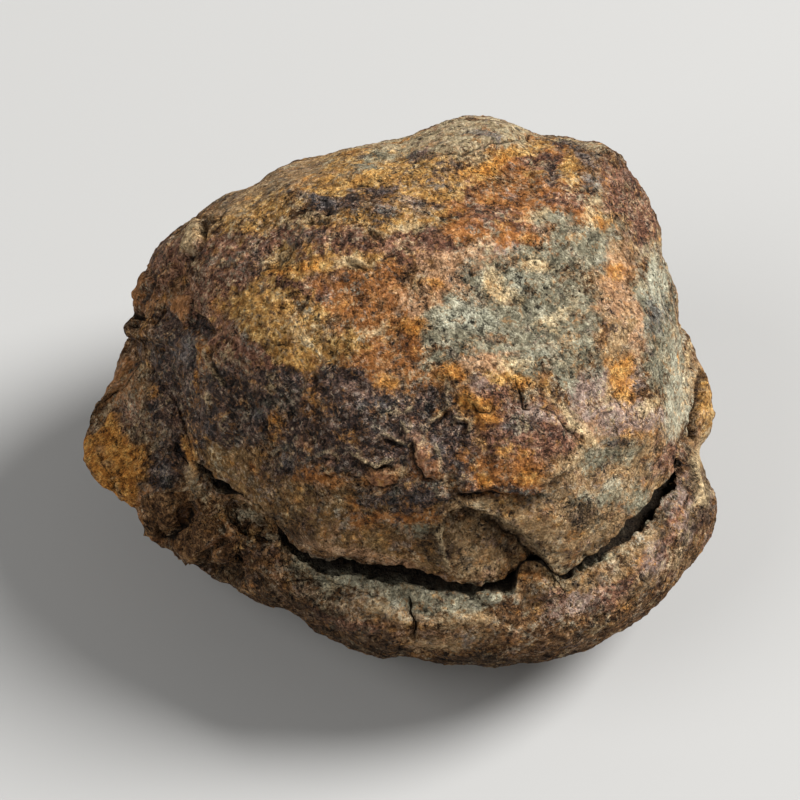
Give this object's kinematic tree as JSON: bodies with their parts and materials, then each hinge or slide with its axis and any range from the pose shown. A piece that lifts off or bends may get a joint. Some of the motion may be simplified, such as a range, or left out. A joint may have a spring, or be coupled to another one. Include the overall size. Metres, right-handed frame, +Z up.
{
  "type": "split fossil concretion nodule",
  "caption": "Rounded ironstone nodule that has been split open, its domed upper half seated in the lipped lower half; lies on a small flat spot.",
  "frame": {"origin": "on the surface that the nodule lies on, under the middle of its box", "axes": "+X along the longest side, towards the flush lip; +Y to the back, away from the ledge and the chips; +Z up, through the domed half"},
  "size_m": [0.0631, 0.0563, 0.0445],
  "materials": {
    "rust_crust": "dry, grainy weathered ironstone in ochre, rust, grey-green and blue-black",
    "brown_crust": "dry, grainy weathered mudstone in brown and ochre, with a grey-green broken ledge"
  },
  "bodies": {
    "root": {"upper_half": "rust_crust", "lower_half": "brown_crust"}
  },
  "joints": []
}
